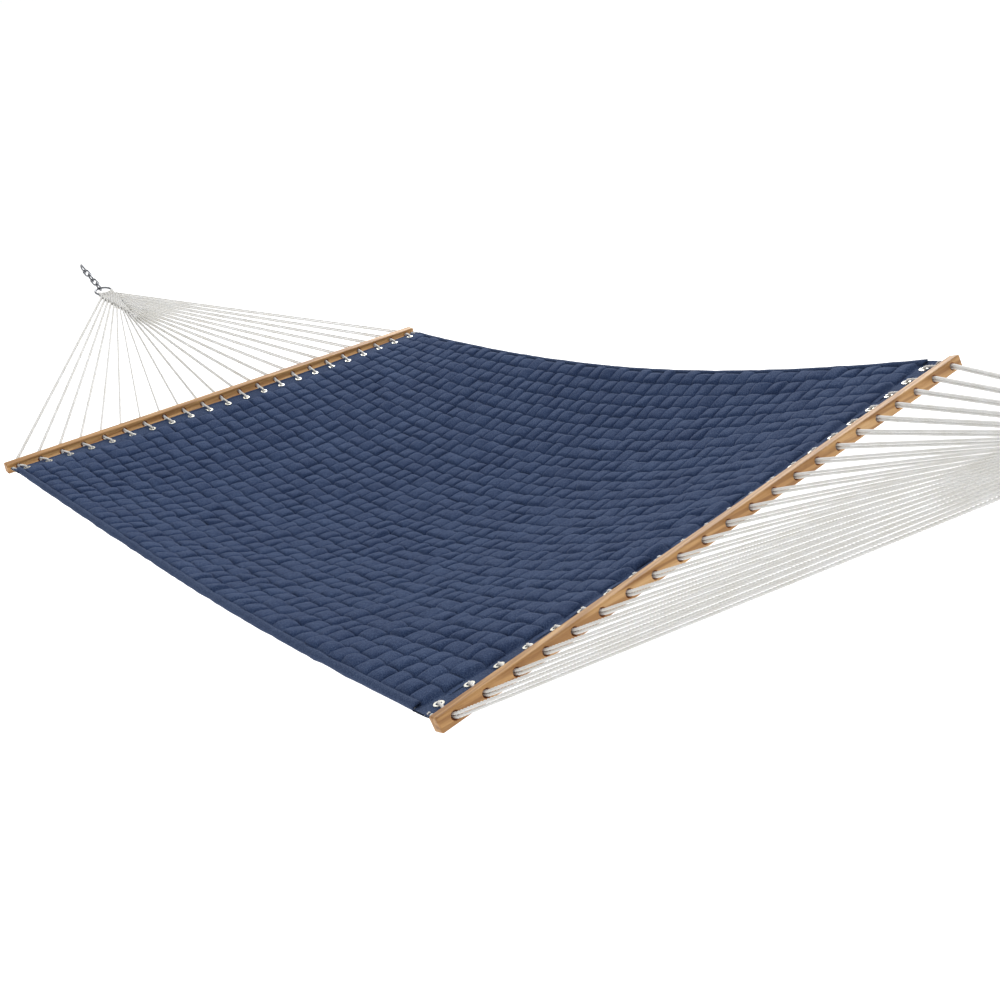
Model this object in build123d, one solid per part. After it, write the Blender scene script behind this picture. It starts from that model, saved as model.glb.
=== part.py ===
from build123d import *
from math import atan2, cos, degrees, hypot, radians, sin, tan
import os

# A padded spreader-bar hammock, hung by two short chains.
# X runs along the hammock, Y across it and Z up. The origin is the centre of its bounding box.
# The right end (+X) is modelled, and the left end is the same piece turned half round Z.
# "Level frame" below means heights measured from the bars, before the turn of the end is added.

# ---- driving dimensions, in millimetres and degrees ----
bar_level = -85.5           # height of the bars' centres above the origin
bar_x = 1045.0              # from the middle of the hammock to a bar's centre line
bar_length = 1397.0
bar_thickness = 25.0        # along X
bar_height = 28.0
bar_edge_radius = 3.5
bar_tilt = 12.0             # the bars hang rolled in line with the ropes, outer edge up
hole_count = 22
hole_pitch = 63.5
hole_radius = 8.0
hole_chamfer = 1.0
cord_hole_radius = 4.25     # blind hole for the side cord, in the bar's bed side
cord_hole_depth = 14.0
cord_hole_y = 686.0

ring_x = 1846.0             # the ring's centre, in the level frame
ring_z = 290.0
ring_radius = 28.0          # to the middle of the wire
ring_wire_radius = 3.5
chain_slope = 33.0
link_wire_radius = 3.0
link_half_width = 8.5       # to the middle of the wire
link_inner_length = 29.0
link_clearance = 0.8
links_per_end = 5

rope_radius = 3.0
strand_offset = 3.15        # a rope's two strands lie this far above and below the fan's plane
mouth_reach = 2.0           # past the bar's outer face, where a strand starts to fan out
mouth_bend = 12.0
exit_bend = 8.0
loop_half_height = 8.8      # of the strands over and under the grommet
loop_bend = 8.2
hem_edge_lift = 6.6         # strand above and below the end hem's edge
hem_edge_gap = 3.0          # past that edge, where the strands bend

clew_length = 215.0         # from the ring's wire to the tip of the woven clew
clew_margin = 3.2           # from a leaving rope's middle to the clew's edge
clew_thickness = 13.0
clew_eye_radius = 8.5
clew_eye_half_angle = 55.0
rope_exit_step = 19.0       # along the clew, between two ropes that leave it
first_exit_y = 3.6
rope_exit_rise = 3.5        # across the clew, from the first rope to the second
rope_exit_power = 0.8       # below 1, later ropes leave closer together

bed_end_x = 1040.0          # where the bed's sag would reach nothing
hem_outer_x = 1020.0        # the plain end hem, beside the bar
hem_inner_x = 974.0         # where it meets the woven part
hem_thickness = 4.0
bed_half_width = 674.0      # of the woven part, at the bars
bed_pull_in = 20.0          # how much narrower each side is at the middle
edge_drop = 4.0             # of the side hems below the bars' centres, where they leave the bars
edge_sag = 58.0             # of the side hems at mid length, below that
edge_sag_power = 1.22       # above 1, the side hems come to the bars flatter than a parabola
middle_drop = 3.0           # the same two for the centre line, below the side hems
middle_sag = 137.0
panel_thickness = 20.0
panel_splits = [340.0, 680.0]
side_hem_radius = 8.0
side_hem_bore = 4.5
side_hem_end_x = 996.0      # the rolled hems stop short of the end hem's edge
soft_gap = 0.3              # between soft solids

grommet_x = 996.0
grommet_pitch = 62.5
grommet_bore = 5.4
grommet_barrel = 6.2
grommet_flange = 9.5
grommet_flange_thickness = 1.2
grommet_seat_gap = 0.7      # between flange and hem, whose surface is curved
hem_hole_radius = 6.5

side_cord_radius = 2.5
side_cord_start_x = 981.0

turn_at_rest = 3.5          # how far each end hangs turned about its own rope fan

# ---- derived geometry of the right end, in the level frame ----
bar_centre = Vector(bar_x, 0, 0)
ring_centre = Vector(ring_x, 0, ring_z)
fan_length = hypot(ring_x - bar_x, ring_z)
fan_slope = degrees(atan2(ring_z, ring_x - bar_x))
fan_axis = Vector(cos(radians(fan_slope)), 0, sin(radians(fan_slope)))
fan_up = Vector(-fan_axis.Z, 0, fan_axis.X)
chain_axis = Vector(cos(radians(chain_slope)), 0, sin(radians(chain_slope)))
turn_axis = Axis(bar_centre, fan_axis)
bore_axis = Vector(cos(radians(bar_tilt)), 0, sin(radians(bar_tilt)))
bore_up = Vector(-bore_axis.Z, 0, bore_axis.X)
level = Pos(0, 0, bar_level)
half_turn = Rot(0, 0, 180)
hole_ys = [(i - (hole_count - 1) / 2) * hole_pitch for i in range(hole_count)]
bed_face = bar_centre - bore_axis * (bar_thickness / 2)
outer_face = bar_centre + bore_axis * (bar_thickness / 2)


def sag_share(x):
    """How much of the full sag the bed has at x: 1 in the middle, 0 at the bars."""
    return 1 - (x / bed_end_x) ** 2


def bed_height(x, across):
    """Height of the bed's middle surface, with across running from -1 to 1 over its width."""
    share = sag_share(x)
    edge = edge_drop + edge_sag * share**edge_sag_power
    return -edge - (middle_drop + middle_sag * share) * (1 - across**2)


def half_width(x):
    """Half the width of the woven part at x."""
    return bed_half_width - bed_pull_in * sag_share(x) ** edge_sag_power


def turned(shape, share=1.0):
    """The shape as it hangs at rest: turned about the rope fan by its share of the turn."""
    return shape.rotate(turn_axis, turn_at_rest * share)


def turned_point(point, share=1.0):
    """A point turned in the same way."""
    return Vertex(point.X, point.Y, point.Z).rotate(turn_axis, turn_at_rest * share).center()


def station_point(x, across, lift=0.0, beyond=0.0):
    """A point of the hanging bed at station x. Stations lie square to the fan's axis, so that
    neighbouring panels slide past each other when an end turns. lift is off the middle surface,
    and beyond is out past the woven part's edge."""
    if x < 0:
        mirrored = station_point(-x, -across, lift, beyond)
        return Vector(-mirrored.X, -mirrored.Y, mirrored.Z)
    slope = radians(fan_slope) * min(1.0, x / panel_splits[0])
    spot_x, spot_z = x, 0.0
    for _ in range(5):
        spot_z = bed_height(spot_x, across)
        spot_x = x - spot_z * tan(slope)
    spot_y = across * half_width(x) + (beyond if across > 0 else -beyond)
    spot = Vector(spot_x - lift * sin(slope), spot_y, spot_z + lift * cos(slope))
    return turned_point(spot, min(1.0, x / hem_inner_x))


def panel_section(x, thickness):
    """A closed arc-shaped face across the bed at station x."""
    half = thickness / 2
    low = [station_point(x, across, -half) for across in (-1, 0, 1)]
    high = [station_point(x, across, half) for across in (-1, 0, 1)]
    edges = [
        Edge.make_three_point_arc(*low),
        Edge.make_line(low[2], high[2]),
        Edge.make_three_point_arc(high[2], high[1], high[0]),
        Edge.make_line(high[0], low[0]),
    ]
    return Face(Wire(edges))


def panel(stations, thickness):
    """A soft panel lofted through its stations."""
    return loft([panel_section(x, thickness) for x in stations])


def side_hem(stations, side, radius):
    """A stretch of the rolled hem along one side of the bed."""
    offset = side_hem_radius + soft_gap
    centres = [station_point(x, side, 0, offset) for x in stations]
    slices = []
    for centre, x in zip(centres, stations):
        axis = fan_axis if abs(x) >= panel_splits[0] else Vector(1, 0, 0)
        if x < 0:
            axis = Vector(-axis.X, 0, axis.Z)
        normal = Vector(abs(axis.X), 0, axis.Z if x >= 0 else -axis.Z)
        slices.append(Plane(origin=centre, x_dir=(0, 1, 0), z_dir=normal) * Circle(radius))
    return loft(slices)


def swept(points, bends, radius):
    """A round rope along straight runs joined by tangent arcs."""
    path = FilletPolyline(*points, radius=bends)
    start = Plane(origin=path @ 0, z_dir=path % 0)
    return sweep(start * Circle(radius), path=path)


# ---- spreader bar ----
def spreader_bar():
    """An oak bar with a row of rope holes and a blind hole near each end for the side cord."""
    bar = Box(bar_thickness, bar_length, bar_height)
    bar = fillet(bar.edges(), bar_edge_radius)
    drill = Rot(0, 90, 0) * Cylinder(hole_radius, bar_thickness * 2)
    for y in hole_ys:
        bar -= Pos(0, y, 0) * drill
    mouths = [edge for edge in bar.edges().filter_by(GeomType.CIRCLE) if abs(edge.radius - hole_radius) < 0.01]
    bar = chamfer(mouths, hole_chamfer)
    blind = Rot(0, 90, 0) * Cylinder(cord_hole_radius, cord_hole_depth * 2)
    for y in (-cord_hole_y, cord_hole_y):
        bar -= Pos(-bar_thickness / 2, y, 0) * blind
    return turned(Pos(bar_x, 0, 0) * Rot(0, -bar_tilt, 0) * bar)


# ---- rope fan ----
def exit_run(rank):
    """Distance from the ring's centre to where ropes leave the clew. Rank 0 is the innermost pair."""
    return ring_radius + clew_length - rank * rope_exit_step


def exit_across(rank):
    """How far from the clew's middle line the same ropes leave."""
    return first_exit_y + rope_exit_rise * rank**rope_exit_power


def rope_exit(y, strand):
    """Where the rope to the hole at y leaves the clew. strand is 1 for the upper, -1 for the lower."""
    rank = abs(y) / hole_pitch - 0.5
    run = exit_run(rank)
    across = exit_across(rank) * (1 if y > 0 else -1)
    return ring_centre - fan_axis * run + fan_up * (strand * strand_offset) + Vector(0, across, 0)


def hem_normal(x, y):
    """The end hem's upward normal in the level frame, from its slopes along X and Y."""
    step = 1.0
    width = half_width(x)
    slope_x = (bed_height(x + step, y / width) - bed_height(x - step, y / width)) / (2 * step)
    slope_y = (bed_height(x, (y + step) / width) - bed_height(x, (y - step) / width)) / (2 * step)
    return Vector(-slope_x, -slope_y, 1).normalized()


def grommet_centre(y):
    """Centre of the grommet that belongs to the hole at y. The grommets stand a little closer."""
    place = y * grommet_pitch / hole_pitch
    return Vector(grommet_x, place, bed_height(grommet_x, place / half_width(grommet_x)))


def grommet_plane(y):
    """The plane that the grommet belonging to the hole at y lies in."""
    centre = grommet_centre(y)
    return Plane(origin=centre, x_dir=(1, 0, 0), z_dir=hem_normal(grommet_x, centre.Y))


def harness_rope(y):
    """One rope: from the clew through the bar, over the end hem, down its grommet and back."""
    grommet = grommet_centre(y)
    edge_x = hem_outer_x + hem_edge_gap
    edge_y = y + (grommet.Y - y) * (bed_face.X - edge_x) / (bed_face.X - grommet_x)
    edge_z = bed_height(edge_x, edge_y / half_width(edge_x))
    normal = hem_normal(grommet_x, grommet.Y)
    upright = Vector(normal.X, 0, normal.Z).normalized()
    across = Vector(0, y, 0)
    halves = []
    for strand in (1, -1):
        halves.append([
            rope_exit(y, strand) + fan_axis * clew_thickness,
            outer_face + bore_axis * mouth_reach + bore_up * (strand * strand_offset) + across,
            bed_face - bore_axis * (mouth_reach / 2) + bore_up * (strand * strand_offset) + across,
            Vector(edge_x, edge_y, edge_z + strand * hem_edge_lift),
            grommet + upright * (strand * loop_half_height),
        ])
    points = halves[0] + halves[1][::-1]
    bends = [mouth_bend, exit_bend, exit_bend, loop_bend]
    return swept(points, bends + bends[::-1], rope_radius)


def clew():
    """The flat woven wedge that gathers the ropes at the ring, with its eye round the ring."""
    along = Plane(origin=ring_centre, x_dir=fan_axis * -1, z_dir=fan_up)
    ranks = range(hole_count // 2)
    edge = [(exit_run(rank), exit_across(rank) + clew_margin) for rank in ranks]
    edge.append((ring_radius, edge[-1][1]))
    other = [(run, -across) for run, across in reversed(edge)]
    outline = Polyline(*(edge + other), close=True)
    wedge = extrude(make_face(outline), clew_thickness / 2, both=True)
    eye_arc = CenterArc((0, 0, 0), ring_radius, -clew_eye_half_angle, 2 * clew_eye_half_angle)
    eye = sweep(Plane(origin=eye_arc @ 0, z_dir=eye_arc % 0) * Circle(clew_eye_radius), path=eye_arc)
    body = wedge + eye
    body -= Torus(ring_radius, ring_wire_radius + soft_gap)
    return turned(along * body)


def harness(clew_solid):
    """All the ropes of one end, each cut off where it enters the clew."""
    ropes = []
    for y in hole_ys:
        rope = turned(harness_rope(y)) - clew_solid
        pieces = sorted(rope.solids(), key=lambda piece: piece.volume)
        ropes.append(pieces[-1])
    return Compound(ropes)


# ---- ring and chain ----
def ring():
    """The welded ring, lying in the fan's plane."""
    return turned(Plane(origin=ring_centre, x_dir=fan_axis * -1, z_dir=fan_up) * Torus(ring_radius, ring_wire_radius))


def chain_start():
    """Middle of the ring's wire where the chain pulls on it."""
    return ring_centre + fan_axis * ring_radius


def link_crown(index):
    """Distance along the chain to the lower crown of a link, counted from the ring."""
    first = -(ring_wire_radius + link_wire_radius + link_clearance)
    return first + index * (link_inner_length - link_clearance)


def chain_link(index):
    """One link. Even links stand upright and odd ones lie across them."""
    length = link_inner_length + 2 * link_wire_radius
    start = chain_start() + chain_axis * link_crown(index)
    centre = start + chain_axis * (length / 2)
    face = Vector(0, 1, 0) if index % 2 == 0 else Vector(-chain_axis.Z, 0, chain_axis.X)
    spine = SlotOverall(length, 2 * link_half_width).wire()
    wire = sweep(Plane(origin=spine @ 0, z_dir=spine % 0) * Circle(link_wire_radius), path=spine)
    return Plane(origin=centre, x_dir=chain_axis, z_dir=face) * wire


# ---- end hem, grommets and side cords ----
def end_hem():
    """The flat hem that carries the grommets, pierced for each of them."""
    hem = panel([hem_inner_x, (hem_inner_x + hem_outer_x) / 2, hem_outer_x], hem_thickness)
    for y in hole_ys:
        hem -= turned(grommet_plane(y) * Cylinder(hem_hole_radius, hem_thickness * 4))
    return hem


def grommet():
    """A two-flanged metal eyelet about the origin."""
    flange_low = hem_thickness / 2 + grommet_seat_gap
    barrel = Cylinder(grommet_barrel, 2 * flange_low)
    flange = Cylinder(grommet_flange, grommet_flange_thickness)
    lift = flange_low + grommet_flange_thickness / 2
    body = barrel + Pos(0, 0, lift) * flange + Pos(0, 0, -lift) * flange
    return body - Cylinder(grommet_bore, 4 * flange_low)


def grommets():
    """The row of eyelets in one end hem."""
    eyelet = grommet()
    placed = []
    for y in hole_ys:
        placed.append(turned(grommet_plane(y) * eyelet).solids()[0])
    return Compound(placed)


def side_cord(side):
    """The short stretch of side cord from inside the rolled hem into the bar's blind hole."""
    inside = station_point(side_cord_start_x, side, 0, side_hem_radius + soft_gap)
    mouth = station_point(side_hem_end_x, side, 0, side_hem_radius + soft_gap)
    opening = bed_face + Vector(0, side * cord_hole_y, 0)
    bottom = turned_point(opening + bore_axis * (cord_hole_depth * 0.8))
    before = turned_point(opening - bore_axis * (cord_hole_depth * 0.2))
    return swept([inside, mouth, before, bottom], [15.0, 15.0], side_cord_radius)


def split_stations(low, high):
    """Three stations from one end of a stretch to the other."""
    return [low, (low + high) / 2, high]


# ---- write every node ----
os.makedirs("parts", exist_ok=True)


def write(name, shape):
    """Export one node, moved from the level frame to the part's own."""
    export_step(level * shape, "parts/" + name + ".step")


def write_pair(name, shape):
    """Export the right piece and its half-turned twin at the left end."""
    write(name + "_right", shape)
    write(name + "_left", half_turn * shape)


def write_sided_pair(name, near, far):
    """Export both sides of both ends: the half turn swaps the near and the far side."""
    write(name + "_right_near", near)
    write(name + "_right_far", far)
    write(name + "_left_far", half_turn * near)
    write(name + "_left_near", half_turn * far)


clew_right = clew()
write_pair("spreader_bar", spreader_bar())
write_pair("ring", ring())
write_pair("clew", clew_right)
write_pair("harness_ropes", harness(clew_right))
write_pair("end_hem", end_hem())
write_pair("grommets", grommets())
for number in range(links_per_end - 1):
    write_pair("chain_link_" + str(number + 1), chain_link(number))
write_pair("end_link", chain_link(links_per_end - 1))
write_sided_pair("side_cord", side_cord(-1), side_cord(1))

inner_split, outer_split = panel_splits
stretches = {
    "outer": split_stations(outer_split + soft_gap, hem_inner_x - soft_gap),
    "inner": split_stations(inner_split + soft_gap, outer_split - soft_gap),
}
for name, stations in stretches.items():
    write_pair("bed_" + name, panel(stations, panel_thickness))
    write_sided_pair(
        "side_hem_" + name,
        side_hem(stations, -1, side_hem_radius),
        side_hem(stations, 1, side_hem_radius),
    )

corner_stations = split_stations(hem_inner_x, side_hem_end_x)
corners = []
for side in (-1, 1):
    corners.append(
        side_hem(corner_stations, side, side_hem_radius) - side_hem(corner_stations, side, side_hem_bore)
    )
write_sided_pair("side_hem_end", corners[0], corners[1])

middle_stations = [-inner_split, -inner_split / 2, 0, inner_split / 2, inner_split]
write("bed_middle", panel(middle_stations, panel_thickness))
write("side_hem_middle_near", side_hem(middle_stations, -1, side_hem_radius))
write("side_hem_middle_far", side_hem(middle_stations, 1, side_hem_radius))
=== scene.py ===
import math

import bpy
import numpy as np
from mathutils import Matrix, Vector


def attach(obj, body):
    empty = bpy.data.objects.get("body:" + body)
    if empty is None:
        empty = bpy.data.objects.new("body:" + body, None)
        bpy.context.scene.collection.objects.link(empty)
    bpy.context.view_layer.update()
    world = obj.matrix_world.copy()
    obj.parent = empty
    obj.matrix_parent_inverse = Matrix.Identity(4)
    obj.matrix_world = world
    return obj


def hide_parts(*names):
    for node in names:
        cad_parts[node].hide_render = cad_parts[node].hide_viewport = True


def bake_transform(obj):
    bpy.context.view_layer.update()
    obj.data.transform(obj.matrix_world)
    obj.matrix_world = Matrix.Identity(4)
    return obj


# A padded woven hammock, hung by two short chains. Metres, in the frame of the CAD model.
# Most shapes are worked out for the right end (+X) in a level frame, whose origin lies on the
# line between the bars' centres. They are then turned about the rope fan's axis, since the bars
# aren't parallel, and moved to their height. The left end is the right one, turned half round Z.

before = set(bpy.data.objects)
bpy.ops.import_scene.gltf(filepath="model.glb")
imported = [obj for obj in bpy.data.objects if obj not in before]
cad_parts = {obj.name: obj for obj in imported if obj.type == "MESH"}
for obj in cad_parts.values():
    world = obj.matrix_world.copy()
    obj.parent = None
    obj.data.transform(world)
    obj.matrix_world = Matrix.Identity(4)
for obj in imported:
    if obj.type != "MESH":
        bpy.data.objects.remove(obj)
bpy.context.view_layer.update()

# ---- sizes, the same as the CAD model's, except where the rolled hems end ----
BAR_LEVEL = -0.0855  # height of the bars' centres in the part's frame
BAR_X = 1.045
BAR_TILT = math.radians(12)  # a bar is rolled by this, outer edge up
BAR_THICK = 0.025
HOLES = 22
HOLE_PITCH = 0.0635
GROMMET_PITCH = 0.0625
GROMMET_X = 0.996
RING_X, RING_Z, RING_R = 1.846, 0.290, 0.028
ROPE_R = 0.0030
STRAND = 0.00315  # a rope's two strands lie this far above and below the fan's plane
CLEW_LENGTH = 0.215
EXIT_STEP, EXIT_RISE, FIRST_EXIT, EXIT_POWER = 0.019, 0.0035, 0.0036, 0.8  # ropes leaving a clew
BED_END, HEM_OUT, HEM_IN = 1.040, 1.020, 0.974  # where the sag's curve, the hem and the weave end
HALF_WIDTH, PULL_IN = 0.674, 0.020  # at the bed's ends, and how much less in its middle
EDGE_DROP, EDGE_SAG, EDGE_POWER = 0.004, 0.058, 1.22  # how far the bed's sides hang below the bars
MIDDLE_DROP, MIDDLE_SAG = 0.003, 0.137  # how much deeper the bed's middle line hangs than its sides
ROLL_ENDS = {-1: 0.968, 1: 0.984}  # at the level frame's -Y and +Y. The CAD tubes reach 0.996
CORD_HOLE_Y = 0.686
TURN = math.radians(3.5)
TURN_FROM = 0.34  # the fan's slope comes into the turn over this distance from the middle
WARPS, WEFTS = 31, 43

FAN_SLOPE = math.atan2(RING_Z, RING_X - BAR_X)
FAN = np.array([math.cos(FAN_SLOPE), 0, math.sin(FAN_SLOPE)])
FAN_UP = np.array([-FAN[2], 0, FAN[0]])
BORE = np.array([math.cos(BAR_TILT), 0, math.sin(BAR_TILT)])
BORE_UP = np.array([-BORE[2], 0, BORE[0]])
BAR_CENTRE = np.array([BAR_X, 0, 0])
RING_CENTRE = np.array([RING_X, 0, RING_Z])
HOLE_YS = [(i - (HOLES - 1) / 2) * HOLE_PITCH for i in range(HOLES)]
ENDS = ((1, "right"), (-1, "left"))


# ---- the shape of the hanging bed ----
def turned(points, share=1.0):
    """Points of the right end, turned about the fan's axis by their share of the end's turn."""
    points = np.asarray(points, float)
    angle = np.broadcast_to(np.asarray(share, float) * TURN, points.shape[:-1])[..., None]
    arm = points - BAR_CENTRE
    along = (arm @ FAN)[..., None] * FAN
    across = np.cross(np.broadcast_to(FAN, arm.shape), arm)
    return BAR_CENTRE + arm * np.cos(angle) + across * np.sin(angle) + along * (1 - np.cos(angle))


def placed(points, side):
    """From the right end's level frame to the part's frame. side is 1 for right, -1 for left."""
    return np.asarray(points) * np.array([side, side, 1]) + np.array([0, 0, BAR_LEVEL])


def sag_share(x):
    """How much of the full sag there is at x: 1 in the middle and 0 at the bed's end."""
    return np.clip(1 - (x / BED_END) ** 2, 1e-4, 1)


def bed_height(x, across):
    """Height of the bed's middle surface at a distance x from the middle, before any turn."""
    share = sag_share(x)
    edge = EDGE_DROP + EDGE_SAG * share**EDGE_POWER
    return -edge - (MIDDLE_DROP + MIDDLE_SAG * share) * (1 - np.minimum(across**2, 1))


def half_width(x):
    """Half the woven bed's width, which is less in the middle."""
    return HALF_WIDTH - PULL_IN * sag_share(np.abs(x)) ** EDGE_POWER


def hang(x, across, lift=0.0, beyond=0.0):
    """Points of the hanging bed. across runs from -1 to 1, lift is off the middle surface, and
    beyond is out past the woven part's edge."""
    given = (np.asarray(value, float) for value in (x, across, lift, beyond))
    x, across, lift, beyond = np.broadcast_arrays(*given)
    side = np.where(x < 0, -1.0, 1.0)
    q, ac = np.abs(x), across * side
    w = half_width(q)
    step, share = 0.0005, 0.001  # either side of a point, for the slopes
    slope_x = (bed_height(q + step, ac) - bed_height(q - step, ac)) / (2 * step)
    edge = np.clip(ac, share - 1, 1 - share)
    slope_y = (bed_height(q, edge + share) - bed_height(q, edge - share)) / (2 * share * w)
    n = np.stack([-slope_x, -slope_y, np.ones_like(q)], -1)
    n /= np.linalg.norm(n, axis=-1, keepdims=True)
    out = np.sign(ac) * beyond
    p = np.stack([q, ac * w + out, bed_height(q, ac)], -1) + n * lift[..., None]
    p[..., 0] = np.where(q == 0, 0, p[..., 0])
    station = p[..., 0] + p[..., 2] * np.tan(FAN_SLOPE * np.minimum(1, q / TURN_FROM))
    p = turned(p, np.clip(station / HEM_IN, 0, 1))
    return p * np.stack([side, side, np.ones_like(side)], -1) + np.array([0, 0, BAR_LEVEL])


# ---- meshes ----
def mesh_object(name, verts, faces, material):
    """A smooth-shaded mesh of quads with one material."""
    mesh = bpy.data.meshes.new(name)
    verts = np.ascontiguousarray(verts, np.float32).reshape(-1, 3)
    count, size = faces.shape
    mesh.vertices.add(len(verts))
    mesh.vertices.foreach_set("co", verts.ravel())
    mesh.loops.add(count * size)
    mesh.loops.foreach_set("vertex_index", faces.astype(np.int32).ravel())
    mesh.polygons.add(count)
    mesh.polygons.foreach_set("loop_start", np.arange(count, dtype=np.int32) * size)
    mesh.update(calc_edges=True)
    mesh.polygons.foreach_set("use_smooth", [True] * count)
    mesh.materials.append(material)
    obj = bpy.data.objects.new(name, mesh)
    bpy.context.scene.collection.objects.link(obj)
    return obj


def ring_faces(rows, columns, offset):
    """Quads between rows of points, each row a closed ring."""
    r = np.arange(rows - 1)[:, None] * columns
    c = np.arange(columns)[None, :]
    d = (c + 1) % columns
    quads = np.stack([r + c, r + d, r + columns + d, r + columns + c], -1)
    return quads.reshape(-1, 4) + offset


def merge(name, tubes, material):
    """One object from tubes, each an array of points[ring, place in the ring, 3]."""
    verts, faces, offset = [], [], 0
    for points in tubes:
        rows, columns = points.shape[:2]
        faces.append(ring_faces(rows, columns, offset))
        verts.append(points.reshape(-1, 3))
        offset += rows * columns
    return mesh_object(name, np.concatenate(verts), np.concatenate(faces), material)


def word_of(side):
    return "right" if side > 0 else "left"


# ---- materials ----
def nodes_of(name):
    """A new material, its node tree and its shader."""
    material = bpy.data.materials.new(name)
    material.use_nodes = True
    tree = material.node_tree
    shader = tree.nodes["Principled BSDF"]
    return material, tree, shader


def set_in(node, name, value):
    node.inputs[name].default_value = value


def object_coords(tree):
    return tree.nodes.new("ShaderNodeTexCoord").outputs["Object"]


def noise(tree, coords, scale, detail=3.0, rough=0.55, distortion=0.0):
    node = tree.nodes.new("ShaderNodeTexNoise")
    set_in(node, "Scale", scale)
    set_in(node, "Detail", detail)
    set_in(node, "Roughness", rough)
    set_in(node, "Distortion", distortion)
    tree.links.new(coords, node.inputs["Vector"])
    return node


def ramp(tree, fac, stops):
    node = tree.nodes.new("ShaderNodeValToRGB")
    elements = node.color_ramp.elements
    while len(elements) < len(stops):
        elements.new(0.5)
    for element, (place, colour) in zip(elements, stops):
        element.position = place
        element.color = (*colour, 1)
    tree.links.new(fac, node.inputs["Fac"])
    return node


def mapping(tree, coords, scale=(1, 1, 1), rotation=(0, 0, 0)):
    node = tree.nodes.new("ShaderNodeMapping")
    set_in(node, "Scale", scale)
    set_in(node, "Rotation", rotation)
    tree.links.new(coords, node.inputs["Vector"])
    return node.outputs["Vector"]


def mix_colour(tree, fac, a, b, mode="MIX"):
    """Mixes two colours. Each input is an output socket or a plain value."""
    node = tree.nodes.new("ShaderNodeMix")
    node.data_type = "RGBA"
    node.blend_type = mode
    # The node has a set of sockets for each data type. Inputs 6 and 7 and output 2 are the colours.
    for socket, value in ((node.inputs["Factor"], fac), (node.inputs[6], a), (node.inputs[7], b)):
        if hasattr(value, "is_linked"):
            tree.links.new(value, socket)
        else:
            socket.default_value = value
    return node.outputs[2]


def bump(tree, shader, height, distance, strength, under=None):
    """Bumps the shader by a height from 0 to 1. under is the normal of a coarser bump below it."""
    node = tree.nodes.new("ShaderNodeBump")
    set_in(node, "Distance", distance)
    set_in(node, "Strength", strength)
    tree.links.new(height, node.inputs["Height"])
    if under is not None:
        tree.links.new(under, node.inputs["Normal"])
    tree.links.new(node.outputs["Normal"], shader.inputs["Normal"])
    return node.outputs["Normal"]


def math_node(tree, operation, a, b=None):
    """One step of arithmetic. Each input is an output socket or a plain value."""
    node = tree.nodes.new("ShaderNodeMath")
    node.operation = operation
    for socket, value in zip(node.inputs, (a, b)):
        if value is None:
            continue
        if hasattr(value, "is_linked"):
            tree.links.new(value, socket)
        else:
            socket.default_value = value
    return node.outputs[0]


def thread_pattern(tree, coords, pitch, turn):
    """Two crossed sets of threads, as a height from 0 to 1."""
    spread = mapping(tree, coords, rotation=(0, 0, turn))
    part = tree.nodes.new("ShaderNodeSeparateXYZ")
    tree.links.new(spread, part.inputs[0])
    waves = []
    for axis in ("X", "Y"):
        scaled = math_node(tree, "MULTIPLY", part.outputs[axis], 2 * math.pi / pitch)
        waves.append(math_node(tree, "ABSOLUTE", math_node(tree, "SINE", scaled)))
    return math_node(tree, "MULTIPLY", waves[0], waves[1])


def fabric(name, deep, mid, light, heather=1.0, rough=0.86):
    """Woven outdoor cloth: threads, heathered colour and soft wear."""
    material, tree, shader = nodes_of(name)
    coords = object_coords(tree)
    fine = noise(tree, coords, 420, 2.0, 0.75)
    slub = noise(tree, mapping(tree, coords, (260, 1500, 800)), 1.0, 2.0, 0.6)
    cloud = noise(tree, coords, 9.0, 3.0, 0.55)
    tone = ramp(tree, fine.outputs["Fac"], [(0.36, deep), (0.5, mid), (0.66, light)])
    second = ramp(tree, slub.outputs["Fac"], [(0.3, deep), (0.52, mid), (0.8, light)])
    both = mix_colour(tree, 0.45 * heather, tone.outputs["Color"], second.outputs["Color"])
    veil = ramp(tree, cloud.outputs["Fac"], [(0.3, (0.86, 0.87, 0.9)), (0.7, (1.12, 1.11, 1.08))])
    colour = mix_colour(tree, 1.0, both, veil.outputs["Color"], "MULTIPLY")
    tree.links.new(colour, shader.inputs["Base Color"])
    set_in(shader, "Roughness", rough)
    set_in(shader, "Specular IOR Level", 0.12)
    set_in(shader, "Sheen Weight", 0.10)
    set_in(shader, "Sheen Roughness", 0.45)
    set_in(shader, "Sheen Tint", (0.62, 0.72, 0.9, 1))
    crumple = noise(tree, coords, 95, 3.0, 0.6)
    under = bump(tree, shader, crumple.outputs["Fac"], 0.0028, 0.6)
    weave = thread_pattern(tree, coords, 0.0016, 0.5)
    bump(tree, shader, weave, 0.00025, 0.6, under)
    return material


NAVY = fabric("navy_weave", (0.010, 0.022, 0.066), (0.028, 0.051, 0.122), (0.084, 0.124, 0.226))
BINDING = fabric(
    "navy_binding", (0.014, 0.027, 0.068), (0.032, 0.054, 0.120), (0.074, 0.106, 0.19), heather=0.6
)


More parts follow.
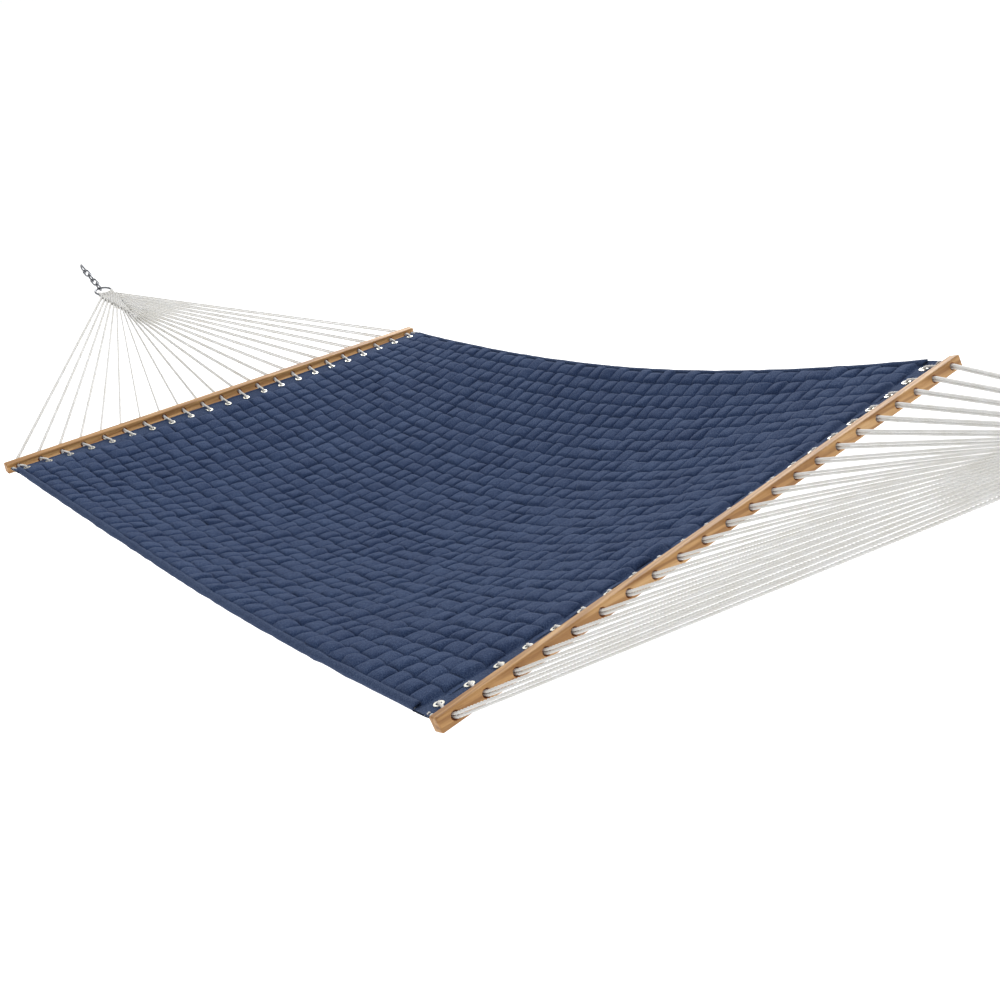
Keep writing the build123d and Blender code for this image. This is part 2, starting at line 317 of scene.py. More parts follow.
def rope_material():
    """Off-white soft rope, slightly soiled."""
    material, tree, shader = nodes_of("rope_white")
    coords = object_coords(tree)
    fibre = noise(tree, coords, 900, 2.0, 0.7)
    dirt = noise(tree, coords, 22, 3.0, 0.6)
    whites = [(0.25, (0.68, 0.675, 0.66)), (0.6, (0.83, 0.825, 0.81))]
    tone = ramp(tree, fibre.outputs["Fac"], whites)
    soil = ramp(tree, dirt.outputs["Fac"], [(0.35, (0.93, 0.92, 0.89)), (0.65, (1, 1, 1))])
    tree.links.new(mix_colour(tree, 1.0, tone.outputs["Color"], soil.outputs["Color"], "MULTIPLY"),
                   shader.inputs["Base Color"])
    set_in(shader, "Roughness", 0.72)
    set_in(shader, "Specular IOR Level", 0.3)
    set_in(shader, "Sheen Weight", 0.2)
    set_in(shader, "Sheen Roughness", 0.5)
    set_in(shader, "Subsurface Weight", 0.08)
    set_in(shader, "Subsurface Radius", (0.002, 0.0018, 0.0015))
    bump(tree, shader, fibre.outputs["Fac"], 0.0003, 0.5)
    return material


ROPE = rope_material()


def oak_material():
    """Varnished oak, with its grain along Y."""
    material, tree, shader = nodes_of("oak_varnished")
    coords = object_coords(tree)
    stretched = mapping(tree, coords, (1.0, 0.045, 1.0))
    wander = noise(tree, stretched, 55, 4.0, 0.6, 0.6)
    rings = tree.nodes.new("ShaderNodeTexWave")
    rings.bands_direction = "DIAGONAL"
    set_in(rings, "Scale", 34)
    set_in(rings, "Distortion", 7.0)
    set_in(rings, "Detail", 3.0)
    set_in(rings, "Detail Scale", 1.4)
    tree.links.new(stretched, rings.inputs["Vector"])
    pores = noise(tree, mapping(tree, coords, (1.0, 0.03, 1.0)), 1500, 2.0, 0.6)
    woods = [(0.3, (0.37, 0.185, 0.062)), (0.55, (0.50, 0.285, 0.112)), (0.75, (0.62, 0.40, 0.20))]
    base = ramp(tree, wander.outputs["Fac"], woods)
    grain = ramp(tree, rings.outputs["Fac"], [(0.2, (0.66, 0.56, 0.45)), (0.7, (1.06, 1.05, 1.03))])
    colour = mix_colour(tree, 0.8, base.outputs["Color"], grain.outputs["Color"], "MULTIPLY")
    dark = ramp(tree, pores.outputs["Fac"], [(0.30, (0.62, 0.52, 0.42)), (0.42, (1, 1, 1))])
    colour = mix_colour(tree, 0.6, colour, dark.outputs["Color"], "MULTIPLY")
    tree.links.new(colour, shader.inputs["Base Color"])
    set_in(shader, "Roughness", 0.5)
    set_in(shader, "Specular IOR Level", 0.3)
    set_in(shader, "Coat Weight", 0.15)
    set_in(shader, "Coat Roughness", 0.4)
    bump(tree, shader, pores.outputs["Fac"], 0.0002, 0.35)
    return material


def bored_material():
    """The charred, stained wood inside the rope holes."""
    material, tree, shader = nodes_of("oak_bored")
    coords = object_coords(tree)
    spots = noise(tree, coords, 300, 3.0, 0.6)
    tone = ramp(tree, spots.outputs["Fac"], [(0.3, (0.30, 0.10, 0.035)), (0.7, (0.50, 0.21, 0.09))])
    tree.links.new(tone.outputs["Color"], shader.inputs["Base Color"])
    set_in(shader, "Roughness", 0.85)
    set_in(shader, "Specular IOR Level", 0.1)
    bump(tree, shader, spots.outputs["Fac"], 0.0004, 0.5)
    return material


def metal_material(name, low, high, rough_low, rough_high, scale):
    """Plated metal, whose colour and roughness vary by spangles."""
    material, tree, shader = nodes_of(name)
    coords = object_coords(tree)
    spangle = noise(tree, coords, scale, 4.0, 0.65)
    tone = ramp(tree, spangle.outputs["Fac"], [(0.3, low), (0.7, high)])
    tree.links.new(tone.outputs["Color"], shader.inputs["Base Color"])
    span = tree.nodes.new("ShaderNodeMapRange")
    set_in(span, "To Min", rough_low)
    set_in(span, "To Max", rough_high)
    tree.links.new(spangle.outputs["Fac"], span.inputs["Value"])
    tree.links.new(span.outputs["Result"], shader.inputs["Roughness"])
    set_in(shader, "Metallic", 1.0)
    bump(tree, shader, spangle.outputs["Fac"], 0.0002, 0.4)
    return material


OAK = oak_material()
BORED = bored_material()
ZINC = metal_material("zinc_grey", (0.10, 0.105, 0.115), (0.30, 0.31, 0.33), 0.18, 0.42, 160)
GROMMET = metal_material("eyelet_plated", (0.80, 0.77, 0.66), (0.92, 0.90, 0.82), 0.25, 0.45, 240)


# ---- the woven bed ----
STEPS = 12  # rings of points to a cell
SECTION = np.linspace(0, 2 * np.pi, 14, endpoint=False)  # angles round a strip's section
LIFT = 0.0038  # how far a strip goes up and down
LIFT_STEEPNESS = 3.5
PAD_TOP, PAD_BOTTOM = 0.0096, 0.0060  # thickness above and below a strip's own middle surface
SECTION_POWER = 0.6  # below 1 makes the section squarer than an ellipse
EDGE_CROWN, UNDER_CROWN = 0.27, 0.34  # share of the thickness at a cell's edge and under a crossing
PILLOW_POWER = 3.2
STRIP_WIDTH, SWELL = 1.085, 0.035  # in cells, and the more at the top of a pillow
DRAW_LIMIT = 1.7  # of what varies from cell to cell, in standard deviations
SIZE_SPREAD, LEAN_SPREAD, TILT_SPREAD, GIRTH_SPREAD = 0.20, 0.30, 0.0022, 0.035
WANDER, WANDER_LIMIT, WANDER_CELLS = 0.024, 1.25, 2.2
END_THINNING = 0.6  # a strip's end loses this share of its thickness where it is sewn in
JOIN_CELLS = 0.5  # over which a left warp takes over from the right one it goes on from
WARP_SEED, WARP_SEED_STEP, LEFT_WARP_SEED = 100, 7, 1000
WEFT_SEED, WEFT_SEED_STEP = 5000, 11
WARP_TAIL, WEFT_TAIL = 0.35, 0.25  # cells that a strip runs on past the weave's edge
TUCK_START, TUCK_LENGTH = HEM_IN - 0.008, 0.014  # where a warp thins out at the end hem
SEWN_BEFORE, SEWN_CELLS = 0.35, 0.5  # the same for a weft, in cells, from inside the weave's edge
LAST_WEFT_WANDER = 0.4  # the last weft lies beside the end hem, and wanders by this share


def smooth_random(count, length, seed):
    """A gentle random curve of count samples, with a knot at each length of them."""
    rng = np.random.default_rng(seed)
    knots = rng.normal(size=max(4, int(count / length) + 4))
    return np.interp(np.arange(count) / length, np.arange(len(knots)), knots)


def strip(phase, sign, seed):
    """One strip's lift, crown, width, sideways tilt and wander. phase counts cells from a cell's
    centre, and sign is 1 if the strip is on top there."""
    cells = np.floor(phase + 0.5).astype(int)
    cells -= cells.min()
    count = cells.max() + 1
    rng = np.random.default_rng(seed)
    draws = (rng.normal(size=count).clip(-DRAW_LIMIT, DRAW_LIMIT)[cells] for _ in range(4))
    size, lean, tilt, girth = draws
    within = phase - np.round(phase)
    wave = np.cos(np.pi * phase) * sign
    over = np.clip(wave, 0, 1)
    pillow = (1 - np.abs(2 * within) ** PILLOW_POWER).clip(0, 1) ** 0.5
    uneven = (1 + SIZE_SPREAD * size) * (1 + LEAN_SPREAD * lean * 2 * within)
    crown = np.where(wave > 0, EDGE_CROWN + (1 - EDGE_CROWN) * pillow * uneven, UNDER_CROWN)
    lift = np.tanh(LIFT_STEEPNESS * wave) * LIFT
    wide = STRIP_WIDTH + (SWELL + GIRTH_SPREAD * girth) * np.sqrt(over)
    tilt = TILT_SPREAD * tilt * over
    curve = smooth_random(len(phase), WANDER_CELLS * STEPS, seed + 1)
    wander = WANDER * curve.clip(-WANDER_LIMIT, WANDER_LIMIT)
    return lift, crown, wide, tilt, wander


def strip_heights(crown, lift, tilt, ending):
    """Height off the bed round a strip's section, which is higher on top than below. ending goes
    from 0 to 1 where the strip thins out and comes back to the bed's middle surface."""
    crown = crown * (1 - END_THINNING * ending)
    lift, tilt = lift * (1 - ending), tilt * (1 - ending)
    upward = np.sin(SECTION)[None, :]
    profile = np.sign(upward) * np.abs(upward) ** SECTION_POWER
    body = np.where(upward > 0, PAD_TOP, PAD_BOTTOM) * profile * crown[:, None]
    return lift[:, None] + body + tilt[:, None] * np.cos(SECTION)[None, :]


def strip_reach(wide):
    """How far a strip's points lie to the side of its middle line, in cells."""
    return 0.5 * np.cos(SECTION)[None, :] * wide[:, None]


def warp_half(side):
    """The lengthwise strips of one half of the bed."""
    cell = 2 * HEM_IN / WEFTS
    cells = WEFTS / 2 + WARP_TAIL
    phase = np.linspace(0, cells, int(round(cells * STEPS)) + 1)
    tubes = []
    for j in range(WARPS):
        sign = 1.0 if j % 2 else -1.0
        seed = WARP_SEED + j * WARP_SEED_STEP
        values = strip(phase, sign, seed)
        if side < 0:
            join = np.clip(phase / JOIN_CELLS, 0, 1)
            own = strip(phase, sign, seed + LEFT_WARP_SEED)
            values = [(1 - join) * a + join * b for a, b in zip(values, own)]
        lift, crown, wide, tilt, wander = values
        tuck = np.clip((phase * cell - TUCK_START) / TUCK_LENGTH, 0, 1)
        height = strip_heights(crown, lift, tilt, tuck)
        x = phase[:, None] * cell * side + 0 * height
        place = j - (WARPS - 1) / 2 + (wander * (1 - tuck))[:, None] + strip_reach(wide)
        tubes.append(hang(x, place / (WARPS / 2), height))
    return merge("bed_warp_" + word_of(side), tubes, NAVY)


def weft_half(side):
    """The crosswise strips of one half. The middle one belongs to the right half."""
    cell = 2 * HEM_IN / WEFTS
    cells = WARPS + 2 * WEFT_TAIL
    phase = np.linspace(-cells / 2, cells / 2, int(round(cells * STEPS)) + 1)
    sewn = np.clip((np.abs(phase) - (WARPS / 2 - SEWN_BEFORE)) / SEWN_CELLS, 0, 1)
    last = (WEFTS - 1) // 2
    tubes = []
    for i in range(0 if side > 0 else 1, last + 1):
        index = i * side
        sign = 1.0 if index % 2 else -1.0
        seed = WEFT_SEED + index * WEFT_SEED_STEP
        lift, crown, wide, tilt, wander = strip(phase, sign, seed)
        height = strip_heights(crown, lift, tilt, sewn)
        steady = LAST_WEFT_WANDER if i == last else 1.0
        x = (index + steady * wander[:, None] + strip_reach(wide)) * cell
        across = (phase / (WARPS / 2))[:, None] + 0 * height
        tubes.append(hang(x, across, height))
    return merge("bed_weft_" + word_of(side), tubes, NAVY)


# The end hem's profile: distance from its inner edge, and the height of its upper and lower face,
# in millimetres. It dips at each row of stitches.
HEM_PROFILE = np.array([
    (0.0, -1.8, -1.8),
    (0.0, 1.2, -2.0),
    (2.0, 2.0, -2.2),
    (5.0, 2.2, -2.2),
    (7.5, 0.9, -1.2),
    (10.0, 2.1, -2.1),
    (20.0, 2.1, -2.1),
    (32.0, 2.1, -2.1),
    (44.5, 1.5, -1.5),
    (46.5, 0.5, -0.6),
    (48.5, 1.2, -1.2),
    (55.0, 1.0, -1.0),
    (56.0, 0.7, -0.8),
    (56.0, -0.6, -0.6),
]) / 1000
HEM_START = HEM_IN - 0.004  # the hem overlaps the weave a little
HEM_REACH = 1.027  # of the weave's half width, so that the corners show beside the rolled hems
HEM_SAMPLES_PER_GROMMET = 12
HEM_CURL, HEM_CURL_FROM = 0.005, 0.985  # how far its corners lift, and from where across
HEM_RIPPLE, RIPPLE_LOW, RIPPLE_HIGH = 0.0005, -1.5, 0.6
RIPPLE_SAMPLES, HEM_SEED = 6, 31


def end_hem(side):
    """The plain double hem that carries the grommets, with a row of stitches along each edge."""
    count = HOLES * HEM_SAMPLES_PER_GROMMET + 1
    across = np.linspace(-HEM_REACH, HEM_REACH, count)
    depth, top, low = HEM_PROFILE.T
    curve = smooth_random(count, RIPPLE_SAMPLES, HEM_SEED + side)
    ripple = HEM_RIPPLE * curve.clip(RIPPLE_LOW, RIPPLE_HIGH)
    corner = np.clip((np.abs(across) - HEM_CURL_FROM) / (HEM_REACH - HEM_CURL_FROM), 0, 1)
    lift = (ripple + HEM_CURL * corner**2)[:, None]
    x = side * (HEM_START + depth)[None, :] + 0 * across[:, None]
    upper = hang(x, across[:, None], top[None, :] + lift)
    lower = hang(x[:, ::-1], across[:, None], low[None, ::-1] + lift)
    ring = np.concatenate([upper, lower[:, 1:-1]], 1)
    return merge("end_hem_cloth_" + word_of(side), [ring], BINDING)


ROLL_WIDE, ROLL_TALL = 0.0082, 0.0076  # the rolled hem's half width and half height
ROLL_BESIDE = 0.0075  # its middle is this far outside the weave
ROLL_BORE = 0.66  # its hollow, as a share of its outside
ROLL_RINGS, ROLL_HOLLOW_RINGS, ROLL_POINTS = 170, 40, 18
ROLL_WOBBLE, WOBBLE_RINGS, ROLL_SEED = 0.06, 5, 77  # how unevenly thick it is
ROLL_RISE, ROLL_END_RISE, RISE_POWER = 0.002, 0.003, 8  # its height off the bed's edge
ROLL_SLANT, SLANT_LIFT, SLANT_POWER = 0.006, 0.3, 30  # of the cut at its end


def rolled_hem(side, edge):
    """The rolled hem along one side of one half: a tube, open and cut aslant beside the bar."""
    stop = ROLL_ENDS[edge * side]
    x = np.linspace(0, stop, ROLL_RINGS)[:, None]
    ring = np.linspace(0, 2 * np.pi, ROLL_POINTS, endpoint=False)[None, :]
    curve = smooth_random(len(x), WOBBLE_RINGS, ROLL_SEED + side * 3 + edge)
    wobble = 1 + ROLL_WOBBLE * curve[:, None]
    wobble[0] = 1
    rise = ROLL_RISE + ROLL_END_RISE * (x / stop) ** RISE_POWER
    flat = ROLL_WIDE * np.cos(ring) * wobble
    tall = ROLL_TALL * np.sin(ring) * wobble
    slant = ROLL_SLANT * (x / stop) ** SLANT_POWER * np.sin(ring)
    x = side * (x + slant)
    outer = hang(x, edge, rise + tall + SLANT_LIFT * slant, ROLL_BESIDE + flat)
    deep = slice(-ROLL_HOLLOW_RINGS, None)
    inside = ROLL_BESIDE + ROLL_BORE * flat[deep]
    inner = hang(x[deep], edge, (rise + ROLL_BORE * tall)[deep], inside)
    tube = np.concatenate([outer, inner[::-1]], 0)
    name = "side_hem_" + word_of(side) + ("_far" if edge > 0 else "_near")
    return merge(name, [tube], BINDING)


for side, word in ENDS:
    warp = warp_half(side)
    weft = weft_half(side)
    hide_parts("bed_inner_" + word, "bed_outer_" + word, *(["bed_middle"] if side > 0 else []))
    hem = end_hem(side)
    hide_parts("end_hem_" + word)
    rolls = [rolled_hem(side, edge) for edge in (-1, 1)]
    for roll, where in zip(rolls, ("near", "far")):
        names = [f"side_hem_{stretch}_{word}_{where}" for stretch in ("inner", "outer", "end")]
        if side > 0:
            names.append("side_hem_middle_" + where)
        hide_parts(*names)
    for piece in (warp, weft, *rolls):
        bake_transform(piece)
    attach(hem, word + "_end")


# ---- ropes ----
ROPE_STEP = 0.003
LAY = 0.018  # the length of one turn of a rope's strands
LOBES = np.array([0.76, 0.98, 0.98] * 3)  # reach of the points round a three-strand section
BEND_SHARE = 0.48  # the most of a straight stretch that one corner's curve takes up
PHASE_STEP = 1.3  # radians between the starts of neighbouring ropes' strands


def resampled(points, step):
    """Points at an even step along a polyline, and how far along it each one is."""
    points = np.asarray(points, float)
    lengths = np.linalg.norm(np.diff(points, axis=0), axis=1)
    run = np.concatenate([[0], np.cumsum(lengths)])
    count = max(3, int(round(run[-1] / step)) + 1)
    where = np.linspace(0, run[-1], count)
    return np.stack([np.interp(where, run, points[:, k]) for k in range(3)], -1), where


def smoothed(points, bends, per_bend=8):
    """A polyline with each corner rounded by a quadratic curve that starts bend away from it."""
    points = [np.asarray(p, float) for p in points]
    out = [points[0]]
    for before, corner, after, bend in zip(points, points[1:], points[2:], bends):
        a, b = before - corner, after - corner
        length_a, length_b = np.linalg.norm(a), np.linalg.norm(b)
        start = corner + a / length_a * min(bend, length_a * BEND_SHARE)
        end = corner + b / length_b * min(bend, length_b * BEND_SHARE)
        for t in np.linspace(0, 1, per_bend):
            out.append((1 - t) ** 2 * start + 2 * t * (1 - t) * corner + t * t * end)
    out.append(points[-1])
    return np.array(out)


def rope_tube(points, radius, step=0.003, lay=LAY, start=0.0):
    """A three-strand rope along a line: rings of a three-lobed section that turns as it goes."""
    line, run = resampled(points, step)
    tangent = np.gradient(line, axis=0)
    tangent /= np.linalg.norm(tangent, axis=1, keepdims=True)
    normal = np.zeros_like(line)
    n = np.cross(tangent[0], np.cross([0.13, 0.29, 0.94], tangent[0]))  # any direction off the line
    normal[0] = n / np.linalg.norm(n)
    for k in range(1, len(line)):
        n = normal[k - 1] - tangent[k] * (normal[k - 1] @ tangent[k])
        normal[k] = n / np.linalg.norm(n)
    side = np.cross(tangent, normal)
    angle = np.linspace(0, 2 * np.pi, len(LOBES), endpoint=False)[None, :]
    reach = radius * LOBES[None, :, None]
    spun = (angle + (run / lay * 2 * np.pi + start)[:, None])[..., None]
    return line[:, None] + reach * (np.cos(spun) * normal[:, None] + np.sin(spun) * side[:, None])


def level_bed(x, y):
    """Height of the bed in the level frame of the right end, before its turn."""
    return float(bed_height(x, y / half_width(x)))


def exit_across(rank):
    """How far from the clew's middle line the ropes of a rank leave it. Rank 0 is at its tip."""
    return FIRST_EXIT + EXIT_RISE * rank**EXIT_POWER


IN_CLEW = 0.013  # a rope starts this far inside the clew
MOUTH_OUT, MOUTH_IN = 0.002, 0.001  # past the bar's outer and inner face, where a strand bends
EDGE_GAP, EDGE_LIFT = 0.003, 0.0066  # of the strands' bend at the end hem's edge
LOOP_HALF_HEIGHT = 0.0088  # of the strands over and under a grommet
BENDS = [0.008, 0.003, 0.006, 0.0078]  # at the bar's two faces, the hem's edge and the grommet


def harness_route(y):
    """The whole route of one rope in the level frame: out to its grommet, and back."""
    rank = abs(y) / HOLE_PITCH - 0.5
    run = RING_R + CLEW_LENGTH - rank * EXIT_STEP
    lateral = exit_across(rank) * (1 if y > 0 else -1)
    grommet_y = y * GROMMET_PITCH / HOLE_PITCH
    grommet = np.array([GROMMET_X, grommet_y, level_bed(GROMMET_X, grommet_y)])
    step = 0.001
    ahead, behind = level_bed(GROMMET_X + step, grommet_y), level_bed(GROMMET_X - step, grommet_y)
    slope = (ahead - behind) / (2 * step)
    up = np.array([-slope, 0, 1.0]) / math.hypot(slope, 1)
    outer = BAR_CENTRE + BORE * (BAR_THICK / 2)
    inner = BAR_CENTRE - BORE * (BAR_THICK / 2)
    edge_x = HEM_OUT + EDGE_GAP
    edge_y = y + (grommet_y - y) * (inner[0] - edge_x) / (inner[0] - GROMMET_X)
    edge_z = level_bed(edge_x, edge_y)
    halves = []
    for strand in (1, -1):
        shift = BORE_UP * strand * STRAND + np.array([0, y, 0])
        clew_end = RING_CENTRE - FAN * run + FAN_UP * strand * STRAND + np.array([0, lateral, 0])
        halves.append([
            clew_end + FAN * IN_CLEW,
            outer + BORE * MOUTH_OUT + shift,
            inner - BORE * MOUTH_IN + shift,
            np.array([edge_x, edge_y, edge_z + strand * EDGE_LIFT]),
            grommet + up * strand * LOOP_HALF_HEIGHT,
        ])
    return halves[0] + halves[1][::-1]


def harness(side):
    """All ropes of one end, as two pieces."""
    made = []
    half = HOLES // 2
    for part, ys in (("near", HOLE_YS[:half]), ("far", HOLE_YS[half:])):
        tubes = []
        for k, y in enumerate(ys):
            line = smoothed(harness_route(y), BENDS + BENDS[::-1])
            line = placed(turned(line), side)
            tubes.append(rope_tube(line, ROPE_R, step=ROPE_STEP, start=k * PHASE_STEP))
        made.append(merge(f"harness_{word_of(side)}_{part}", tubes, ROPE))
    return made


for side, word in ENDS:
    for rope in harness(side):
        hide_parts("harness_ropes_" + word)
        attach(rope, word + "_end")


CORD_R, CORD_STEP, CORD_LAY = 0.0017, 0.0015, 0.009
COILS, COIL_R, COIL_SAMPLES = 3, 0.0036, 40
COILS_FROM, COILS_LENGTH = 0.08, 0.30  # shares of the way from the bar to the hem
CORD_SHARES = (0.48, 0.62, 0.78, 0.90, 1.0)  # where its points lie on the rest of the way
CORD_INSIDE_BAR, CORD_MOUTH = 0.010, 0.002  # its points inside and outside the bar's face
CORD_INSIDE_HEM, CORD_BESIDE, CORD_RISE = 0.020, 0.008, 0.004  # its end, from the weave's edge
CORD_SAG = 0.004


def side_cord(side, edge):
    """The cord between a bar's end and the rolled hem, with three loose turns beside the bar."""
    outward = edge * side
    hole = BAR_CENTRE + np.array([0, outward * CORD_HOLE_Y, 0]) - BORE * (BAR_THICK / 2)
    stop = ROLL_ENDS[outward]
    hem_y = outward * (half_width(stop) + CORD_BESIDE)
    mouth = np.array([stop - CORD_INSIDE_HEM, hem_y, bed_height(stop, 1.0) + CORD_RISE])
    line = [hole + BORE * CORD_INSIDE_BAR, hole - BORE * CORD_MOUTH]
    reach = mouth - hole
    full = COILS * 2 * np.pi
    for angle in np.linspace(0, full, COIL_SAMPLES):
        spot = hole + reach * (COILS_FROM + COILS_LENGTH * angle / full)
        line.append(spot + COIL_R * np.array([0, outward * math.cos(angle), math.sin(angle)]))
    for share in CORD_SHARES:
        line.append(hole + reach * share - np.array([0, 0, CORD_SAG * math.sin(math.pi * share)]))
    tube = rope_tube(placed(turned(np.array(line)), side), CORD_R, CORD_STEP, CORD_LAY)
    name = "side_cord_" + word_of(side) + ("_far" if edge > 0 else "_near")
    return merge(name + "_rope", [tube], ROPE)


for side, word in ENDS:
    for edge, where in ((-1, "near"), (1, "far")):
        cord = side_cord(side, edge)
        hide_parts(f"side_cord_{word}_{where}")
        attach(cord, word + "_end")


# ---- clew ----
CLEW_ROPE_R = 0.0029
CLEW_TIP = RING_R + CLEW_LENGTH  # distances in the clew count from the ring's centre
CLEW_COLUMNS = 5  # on each side of the middle one
EYE_R = 0.0066  # of the strands' path round the ring's wire
EYE_ANGLES = np.linspace(0.05, 1.45, 6)  # the points of that path, in radians
SPREAD, SPREAD_LIMIT = 0.95, 0.82  # how far round the ring the strands lie, as sines
COLUMN_FROM, COLUMN_STEP = 0.012, 0.004  # its first point past the ring's wire, and its step
COLUMN_EASE = 0.05  # a column reaches its place in the weave over this length
COLUMN_TAIL = 0.006  # and goes on by this past the row that it leaves at
COLUMN_LIFT, COLUMN_WAVE = 0.0034, 0.0012  # off the clew's middle plane
ROWS = ((0.001, 0), (0.0095, math.pi))  # of each rank: the shift to the ring, and the wave's phase
ROW_PAST, ROW_BOW, ROW_WAVE = 0.0005, 0.004, 0.0047
ROW_SAMPLES, MORE_ROW_SAMPLES = 11, 3  # at the tip, and for each rank from it


def on_clew(run, lateral, lift):
    """A point run away from the ring's centre, in the level frame."""
    return RING_CENTRE - FAN * run + np.array([0, lateral, 0]) + FAN_UP * lift


def half_clew(run):
    """Half the clew's width at a distance from the ring's centre."""
    return exit_across(max(0.0, (CLEW_TIP - run) / EXIT_STEP))


def clew_column(column, layer):
    """A lengthwise strand: round the ring, then down the clew, weaving up and down."""
    share = column / (CLEW_COLUMNS + 0.5)
    stop = CLEW_TIP - max(0, abs(column) * 2 - 1) * EXIT_STEP + COLUMN_TAIL
    spread = math.asin(min(SPREAD_LIMIT, abs(share) * SPREAD))
    crown = RING_R * math.cos(spread)
    top = RING_R * math.sin(spread) * (1 if column > 0 else -1)
    line = []
    for angle in EYE_ANGLES:
        line.append(on_clew(crown - EYE_R * math.cos(angle), top, layer * EYE_R * math.sin(angle)))
    for run in np.arange(crown + COLUMN_FROM, stop, COLUMN_STEP):
        ease = min(1.0, (run - crown) / COLUMN_EASE)
        lateral = (1 - ease) * top + ease * share * half_clew(run)
        wave = math.cos(2 * math.pi * run / EXIT_STEP + math.pi * column)
        line.append(on_clew(run, lateral, layer * (COLUMN_LIFT + COLUMN_WAVE * wave)))
    return line


def clew_row(rank, shift, phase):
    """A crosswise strand, over and under the lengthwise ones."""
    run = CLEW_TIP - rank * EXIT_STEP - shift
    width = exit_across(rank) + ROW_PAST
    line = []
    for t in np.linspace(-1, 1, ROW_SAMPLES + rank * MORE_ROW_SAMPLES):
        wave = math.cos(math.pi * t * max(1, rank) * 0.5 + phase)
        line.append(on_clew(run + ROW_BOW * (1 - t * t), t * width, ROW_WAVE * wave))
    return line


def clew(side):
    """The flat weave that gathers the ropes: strands from the ring, and rows across them."""
    tubes = []
    for column in range(-CLEW_COLUMNS, CLEW_COLUMNS + 1):
        for layer in (1, -1):
            line = placed(turned(np.array(clew_column(column, layer))), side)
            tubes.append(rope_tube(line, CLEW_ROPE_R, start=column))
    for rank in range(HOLES // 2):
        for shift, phase in ROWS:
            line = placed(turned(np.array(clew_row(rank, shift, phase))), side)
            tubes.append(rope_tube(line, CLEW_ROPE_R, start=rank))
    return merge("clew_weave_" + word_of(side), tubes, ROPE)


for side, word in ENDS:
    piece = clew(side)
    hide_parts("clew_" + word)
    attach(piece, word + "_end")


# ---- carried-over CAD nodes ----
HOLE_REACH = 0.0085  # of a bar's faces from a hole's axis, for those inside it
FACE_SKIN = 0.0001  # how far inside the bar's flat sides they are


def repaint(node, *materials):
    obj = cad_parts[node]
    obj.data.materials.clear()
    for material in materials:
        obj.data.materials.append(material)
    return obj


def stain_holes(bar, side):
    """Gives the faces inside the bar's rope holes its second material."""
    half_turn = np.array([side, side, 1])
    centre = placed(BAR_CENTRE, side)
    bar_dir = (turned(BAR_CENTRE + np.array([0, 1, 0])) - turned(BAR_CENTRE)) * half_turn * side
    bore = (turned(BAR_CENTRE + BORE) - turned(BAR_CENTRE)) * half_turn
    for polygon in bar.data.polygons:
        arm = np.array(polygon.center) - centre
        along = arm @ bar_dir
        rest = arm - bar_dir * along
        depth = rest @ bore
        height = np.linalg.norm(rest - bore * depth)
        off_axis = math.hypot(min(abs(along - y) for y in HOLE_YS), height)
        if off_axis < HOLE_REACH and abs(depth) < BAR_THICK / 2 - FACE_SKIN:
            polygon.material_index = 1


for side, word in ENDS:
    stain_holes(repaint("spreader_bar_" + word, OAK, BORED), side)
    repaint("ring_" + word, ZINC)
    repaint("grommets_" + word, GROMMET)
    repaint("end_link_" + word, ZINC)
    for number in range(1, 5):
        repaint(f"chain_link_{number}_{word}", ZINC)


# ---- stage, light and camera ----
floor_material, tree, shader = nodes_of("floor_pale")
cloud = noise(tree, object_coords(tree), 0.7, 2.0)
tone = ramp(tree, cloud.outputs["Fac"], [(0.3, (0.80, 0.80, 0.80)), (0.7, (0.82, 0.82, 0.82))])
tree.links.new(tone.outputs["Color"], shader.inputs["Base Color"])
set_in(shader, "Roughness", 0.95)
set_in(shader, "Specular IOR Level", 0.0)
set_in(shader, "Emission Color", (1, 1, 1, 1))
set_in(shader, "Emission Strength", 0.6)
half, level = 60, -1.15  # half the floor's side, and its height
corners = [(-half, -half, level), (half, -half, level), (half, half, level), (-half, half, level)]
floor = mesh_object("floor", corners, np.array([[0, 1, 2, 3]]), floor_material)
bpy.context.scene.view_settings.view_transform = "Standard"

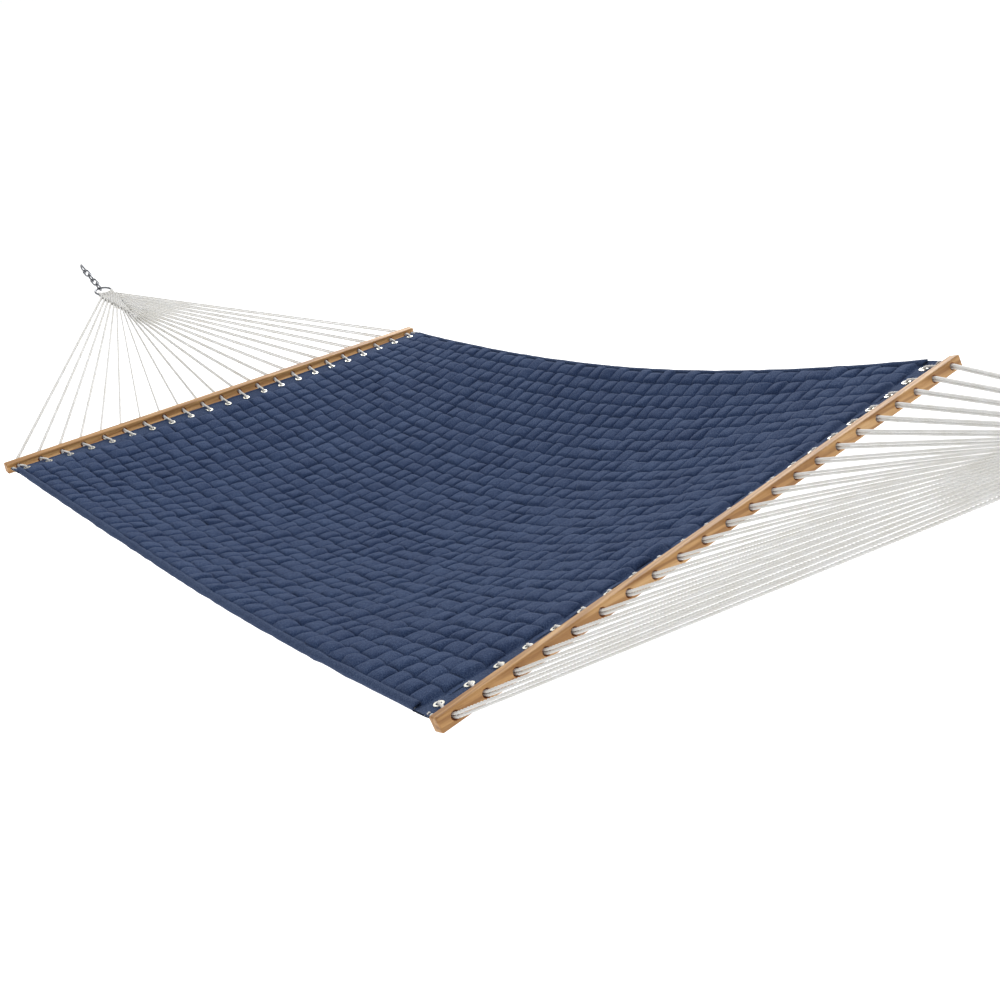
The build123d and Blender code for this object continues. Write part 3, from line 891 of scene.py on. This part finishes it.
# A white surround, brightest at the horizon, where it meets the floor.
world = bpy.data.worlds.new("studio")
bpy.context.scene.world = world
world.use_nodes = True
sky = world.node_tree
background = sky.nodes["Background"]
heading = sky.nodes.new("ShaderNodeTexCoord")
parts = sky.nodes.new("ShaderNodeSeparateXYZ")
sky.links.new(heading.outputs["Generated"], parts.inputs[0])
glow = sky.nodes.new("ShaderNodeMapRange")
set_in(glow, "From Min", 0.04)
set_in(glow, "From Max", 0.40)
set_in(glow, "To Min", 1.02)
set_in(glow, "To Max", 0.80)
sky.links.new(parts.outputs["Z"], glow.inputs["Value"])
sky.links.new(glow.outputs["Result"], background.inputs["Strength"])
set_in(background, "Color", (1, 1, 1, 1))


def soft_light(name, place, target, size, power):
    """A rectangular lamp that faces target."""
    data = bpy.data.lights.new(name, "AREA")
    data.shape = "RECTANGLE"
    data.size, data.size_y = size
    data.energy = power
    light = bpy.data.objects.new(name, data)
    light.location = place
    light.rotation_euler = (Vector(target) - Vector(place)).to_track_quat("-Z", "Y").to_euler()
    bpy.context.scene.collection.objects.link(light)


soft_light("key", (-5.0, 6.5, 5.0), (0, 0, -0.1), (6.0, 4.0), 570)

# The photograph's view, fitted to the hole rows of both bars. The matrix's last column is the
# camera's place.
AZ, EL, ROLL = (math.radians(v) for v in (57.169, 21.540, -13.822))
back = Vector((math.sin(AZ) * math.cos(EL), -math.cos(AZ) * math.cos(EL), math.sin(EL)))
right = (-back).cross(Vector((0, 0, 1))).normalized()
up = right.cross(-back)
right_rolled = right * math.cos(ROLL) + up * math.sin(ROLL)
up_rolled = up * math.cos(ROLL) - right * math.sin(ROLL)
camera_data = bpy.data.cameras.new("camera")
camera_data.lens = 45.72
camera_data.sensor_width = 36
camera = bpy.data.objects.new("camera", camera_data)
camera.matrix_world = Matrix((
    (right_rolled.x, up_rolled.x, back.x, 2.5584),
    (right_rolled.y, up_rolled.y, back.y, -1.4550),
    (right_rolled.z, up_rolled.z, back.z, 0.9497 + BAR_LEVEL),
    (0, 0, 0, 1),
))
bpy.context.scene.collection.objects.link(camera)
bpy.context.scene.camera = camera
